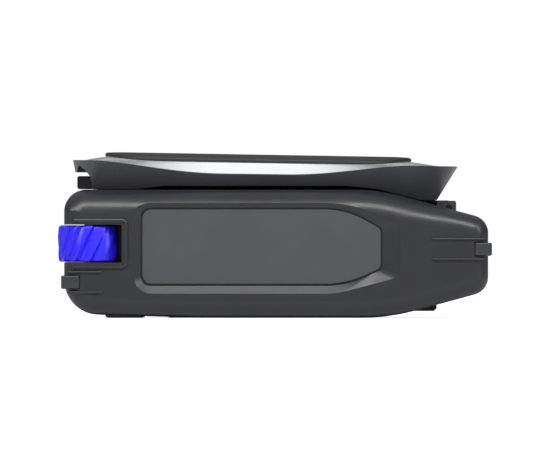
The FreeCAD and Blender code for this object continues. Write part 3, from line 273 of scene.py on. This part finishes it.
def softened(node, width, segments=2, drawn_in=0.0):
    """The node's own form with its sharp edges rounded by a width in millimetres.

    drawn_in narrows its outline along x and z, to leave a groove round it.
    """
    form = bmesh.new()
    form.from_mesh(frame["nodes"][node].data)
    bmesh.ops.remove_doubles(form, verts=form.verts, dist=WELD * MM)
    bmesh.ops.dissolve_limit(form, angle_limit=FLAT_ANGLE, verts=form.verts, edges=form.edges)
    edges = [edge for edge in form.edges
             if len(edge.link_faces) == 2 and edge.calc_face_angle(0.0) > SHARP_ANGLE]
    bmesh.ops.bevel(form, geom=edges, offset=width * MM, segments=segments, profile=0.5, affect="EDGES",
                    clamp_overlap=True)
    if drawn_in:
        low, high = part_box(node)
        for axis in (0, 2):
            middle, half = (low[axis] + high[axis]) / 2, (high[axis] - low[axis]) / 2
            for vert in form.verts:
                vert.co[axis] = middle + (vert.co[axis] - middle) * (1 - drawn_in * MM / half)
    mesh = bpy.data.meshes.new(node + "_soft")
    form.to_mesh(mesh)
    form.free()
    return piece(node + "_soft", mesh, node)


def rounded_outline(corners, steps=7):
    """Points round a closed outline from (a, b, radius) corners, millimetres, counter-clockwise."""
    points = []
    count = len(corners)
    for index, (a, b, radius) in enumerate(corners):
        here = Vector((a, b))
        back = (Vector(corners[index - 1][:2]) - here).normalized()
        ahead = (Vector(corners[(index + 1) % count][:2]) - here).normalized()
        half = back.angle(ahead) / 2
        reach = radius / math.tan(half)
        centre = here + (back + ahead).normalized() * (radius / math.sin(half))
        start = here + back * reach - centre
        sweep = start.angle_signed(here + ahead * reach - centre)
        for step in range(steps + 1):
            turn = -sweep * step / steps
            points.append(centre + Vector((start.x * math.cos(turn) - start.y * math.sin(turn),
                                           start.x * math.sin(turn) + start.y * math.cos(turn))))
    return points


def rings_mesh(name, rings):
    """Closed skin over successive rings of points in millimetres, capped by a fan at each end."""
    form = bmesh.new()
    loops = [[form.verts.new(Vector(point) * MM) for point in ring] for ring in rings]
    count = len(loops[0])
    for lower, upper in zip(loops, loops[1:]):
        for index in range(count):
            after = (index + 1) % count
            form.faces.new((lower[index], lower[after], upper[after], upper[index]))
    for loop in (loops[0], loops[-1]):
        middle = form.verts.new(sum((vert.co for vert in loop), Vector()) / count)
        for index in range(count):
            form.faces.new((loop[index], loop[(index + 1) % count], middle))
    bmesh.ops.recalc_face_normals(form, faces=form.faces)
    mesh = bpy.data.meshes.new(name)
    form.to_mesh(mesh)
    form.free()
    return mesh


# ---------------------------------------------------------------- thumbwheels

FINS = 12
FIN_TWIST = math.radians(38.0)
FIN_DEPTH = 1.1
CREST_SHARE = 0.06
ROOT_SHARE = 0.24
RISE_POWER = 0.7
POINTS_PER_FIN = 16
LEVELS = 28
WHEEL_BULGE = 0.35
RIM_RADIUS = 0.55
TOP_RINGS = ((7.0, 0.0), (6.6, 0.5), (3.2, 0.6), (2.9, 0.1), (2.6, 0.0))


def ease(share):
    """Smooth step from 0 to 1."""
    share = min(max(share, 0.0), 1.0)
    return share * share * (3 - 2 * share)


def fin_profile(share):
    """Depth of one fin, 0 at its crest to 1 at its root, over its share of the turn."""
    if share < CREST_SHARE:
        return 0.0
    if share < ROOT_SHARE:
        return ease((share - CREST_SHARE) / (ROOT_SHARE - CREST_SHARE))
    return 1.0 - ((share - ROOT_SHARE) / (1 - ROOT_SHARE)) ** RISE_POWER


def circle(centre, radius, height, around):
    """Ring of points in millimetres, turned by the fins' full twist."""
    turns = [2 * math.pi * index / around + FIN_TWIST for index in range(around)]
    return [(centre[0] + radius * math.cos(turn), centre[1] + radius * math.sin(turn), height)
            for turn in turns]


def finned_ring(centre, outer, share, base, tall):
    """Outline of the wheel at a share of its height, with its rims rounded."""
    around = FINS * POINTS_PER_FIN
    from_rim = min(min(share, 1 - share) * tall / RIM_RADIUS, 1.0)
    rounded_by = RIM_RADIUS * (1 - math.sqrt(max(0.0, 1 - (1 - from_rim) ** 2)))
    full = outer - WHEEL_BULGE * (2 * share - 1) ** 2 - rounded_by
    ring = []
    for index in range(around):
        radius = full - FIN_DEPTH * fin_profile((index / around * FINS) % 1.0)
        turn = 2 * math.pi * index / around + FIN_TWIST * share
        ring.append((centre[0] + radius * math.cos(turn), centre[1] + radius * math.sin(turn),
                     base + share * tall))
    return ring


def thumbwheel(node):
    """Finned wheel with rounded rims, a dished top and a hub."""
    low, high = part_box(node)
    centre = ((low[0] + high[0]) / 2 / MM, (low[1] + high[1]) / 2 / MM)
    base, tall = low[2] / MM, (high[2] - low[2]) / MM
    outer = (high[0] - low[0]) / 2 / MM
    rings = [finned_ring(centre, outer, level / LEVELS, base, tall) for level in range(LEVELS + 1)]
    rings += [circle(centre, radius, base + tall - sunk, FINS * POINTS_PER_FIN) for radius, sunk in TOP_RINGS]
    piece(node + "_finned", rings_mesh(node, rings), node, smooth_below=50.0)


# ---------------------------------------------------------------- pad on the mount

DECK_HEIGHT = 46.4
DECK_FALL = math.tan(math.radians(0.99))
DECK_CROWN = 1.45
DECK_FLAT_HALF = 7.0
DECK_HALF = 20.5
CROWN_REAR = (-59.5, 11.5)
CROWN_FRONT = (52.0, 15.0)


def deck_height(x, y):
    """Height of the crowned deck; the crown grows in from each end over its own length."""
    swell = min(ease((x - CROWN_REAR[0]) / CROWN_REAR[1]), ease((CROWN_FRONT[0] - x) / CROWN_FRONT[1]))
    away = max(abs(y) - DECK_FLAT_HALF, 0.0)
    return DECK_HEIGHT - DECK_FALL * x + DECK_CROWN * swell * (1 - away / (DECK_HALF - DECK_FLAT_HALF))


INSET_SHARES = (0.9, 0.75, 0.6, 0.45, 0.3, 0.18, 0.09)
ROUNDING_STEPS = 5


def crowned(name, node, outline, lift, thick, rounding):
    """Slab of even thickness over the deck within an outline, with rounded edges."""
    middle = sum((Vector(point) for point in outline), Vector((0, 0))) / len(outline)
    reach = max((Vector(point) - middle).length for point in outline)

    def ring(inset, height):
        points = []
        for point in outline:
            spoke = Vector(point) - middle
            spot = middle + spoke * max(0.0, 1 - inset / spoke.length)
            points.append((spot.x, spot.y, deck_height(spot.x, spot.y) + height))
        return points

    insets = [reach * share for share in INSET_SHARES]
    rings = [ring(inset, lift) for inset in insets]
    rings += [ring(rounding * 0.4, lift), ring(0.0, lift + rounding * 0.4)]
    for step in range(ROUNDING_STEPS + 1):
        turn = math.pi / 2 * step / ROUNDING_STEPS
        rings.append(ring(rounding * (1 - math.cos(turn)), lift + thick - rounding * (1 - math.sin(turn))))
    rings += [ring(inset, lift + thick) for inset in reversed(insets)]
    return piece(name, rings_mesh(name, rings), node, smooth_below=55.0)


def mount_pad():
    """Foam pad with round ends, lying on the deck."""
    low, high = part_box("mount_pad")
    rear, front, half = low[0] / MM, high[0] / MM, high[1] / MM
    corner = half - 2.0
    outline = rounded_outline([(rear, -half, corner), (front, -half, corner), (front, half, corner),
                               (rear, half, corner)], 14)
    crowned("foam_pad", "mount_pad", outline, 0.04, 1.15, 0.70)


# ---------------------------------------------------------------- dressing every node

PANEL_GROOVE = 0.45
REST_PAD_EDGE = 0.80
SOFTENED = {
    "mount_frame": 0.42, "hinge_bracket": 0.20, "rear_cross_bar": 0.15,
    "left_side_panel": 0.18, "right_side_panel": 0.18,
    "front_left_clip": 0.55, "front_right_clip": 0.55, "rear_left_clip": 0.55, "rear_right_clip": 0.55,
    "rear_left_foot": 0.15, "rear_right_foot": 0.15, "front_left_foot": 0.20, "front_right_foot": 0.20,
    "front_window": 0.12, "service_cover": 0.12, "rear_bezel": 0.12, "display_window": 0.10,
    "mute_button": 0.20, "menu_button": 0.20, "power_jack": 0.10, "bottom_cover": 0.20,
    "board_screws": 0.08, "cover_screws": 0.08, "bracket_screws": 0.08, "hinge_pin": 0.12,
    "main_board": 0.05, "rear_board": 0.05, "processor_shield": 0.15, "radio_shield": 0.15,
    "gps_antenna": 0.20, "backup_cell": 0.20, "speaker": 0.20, "laser_sensor": 0.10, "horn_antenna": 0.15,
    "display_module": 0.10, "left_wheel_encoder": 0.12, "right_wheel_encoder": 0.12,
    "mute_button_switch": 0.10, "menu_button_switch": 0.10,
    "left_wheel_shaft": 0.10, "right_wheel_shaft": 0.10,
}


def dress():
    """Give every node its finish, and the detailed form of those that have one."""
    for name, obj in frame["nodes"].items():
        obj.data.materials.clear()
        obj.data.materials.append(FINISHES[SLOT_OF[name]])
    for node, width in SOFTENED.items():
        softened(node, width, drawn_in=PANEL_GROOVE if node.endswith("side_panel") else 0.0)
    thumbwheel("left_wheel")
    thumbwheel("right_wheel")
    mount_pad()
    softened("rest_pad", REST_PAD_EDGE, segments=3)


# ---------------------------------------------------------------- stage, light and camera

def area_light(name, place, aim, wide, tall, power):
    """Rectangular lamp aimed at a point, sizes in metres and power in watts."""
    data = bpy.data.lights.new(name, "AREA")
    data.shape = "RECTANGLE"
    data.size = wide
    data.size_y = tall
    data.energy = power
    lamp = bpy.data.objects.new(name, data)
    lamp.location = place
    lamp.rotation_euler = (Vector(aim) - Vector(place)).to_track_quat("-Z", "Y").to_euler()
    bpy.context.scene.collection.objects.link(lamp)


def seen_directly(tree):
    """1 for what the lens sees straight on, 0 for light that reaches the object."""
    return tree.nodes.new("ShaderNodeLightPath").outputs["Is Camera Ray"]


def pale_floor():
    """Matte white floor, lifted to the white of the backdrop."""
    bpy.ops.mesh.primitive_plane_add(size=60.0, location=(0, 0, -0.0001))
    floor = bpy.context.object
    floor.name = "floor"
    made, tree, shader = material("pale_floor")
    matt = shades(tree, noise(tree, 3.0), (0.74, 0.74, 0.75), (0.78, 0.78, 0.78))
    tree.links.new(matt, shader.inputs["Base Color"])
    shader.inputs["Roughness"].default_value = 0.7
    shader.inputs["Specular IOR Level"].default_value = 0.1
    shader.inputs["Emission Color"].default_value = (1, 1, 1, 1)
    lift = spread(tree, seen_directly(tree), 0.0, 0.80, 0.0, 1.0)
    tree.links.new(lift, shader.inputs["Emission Strength"])
    floor.data.materials.append(made)


def studio():
    """White backdrop; the light it gives is strongest from above and weak from the sides."""
    world = bpy.data.worlds.new("studio")
    bpy.context.scene.world = world
    world.use_nodes = True
    tree = world.node_tree
    place = tree.nodes.new("ShaderNodeTexCoord")
    parts = tree.nodes.new("ShaderNodeSeparateXYZ")
    tree.links.new(place.outputs["Generated"], parts.inputs["Vector"])
    glow = spread(tree, parts.outputs["Z"], 0.06, 0.50, 0.0, 0.9)
    seen = tree.nodes.new("ShaderNodeMath")
    seen.operation = "MAXIMUM"
    tree.links.new(glow, seen.inputs[0])
    tree.links.new(seen_directly(tree), seen.inputs[1])
    backdrop = tree.nodes["Background"]
    backdrop.inputs["Color"].default_value = (1, 1, 1, 1)
    tree.links.new(seen.outputs["Value"], backdrop.inputs["Strength"])


def stage():
    """Floor, backdrop and the four lamps round the object."""
    pale_floor()
    studio()
    area_light("softbox", (-0.1, -0.90, 0.98), (0, 0, 0.03), 1.8, 0.26, 17.0)
    area_light("front_strip", (1.1, -0.75, 0.60), (0.04, 0, 0.03), 0.3, 0.7, 5.0)
    area_light("rear_strip", (-1.2, -0.55, 0.70), (0.0, 0, 0.03), 0.3, 0.6, 5.0)
    area_light("near_panel", (0.1, -1.60, 0.42), (0, 0, 0.03), 1.6, 0.35, 1.2)


def camera():
    """Level view of the right side from far off, through a long lens."""
    reach = 5.0
    frame_width = 0.1649
    data = bpy.data.cameras.new("camera")
    data.sensor_width = 36.0
    data.lens = 36.0 * reach / frame_width
    data.clip_end = 100.0
    viewer = bpy.data.objects.new("camera", data)
    viewer.location = (0.0001, cad_box[0][1] - reach, 0.02787)
    viewer.rotation_euler = (math.radians(90), 0, 0)
    bpy.context.scene.collection.objects.link(viewer)
    bpy.context.scene.camera = viewer


dress()
stage()
camera()
bpy.context.scene.view_settings.view_transform = "Standard"
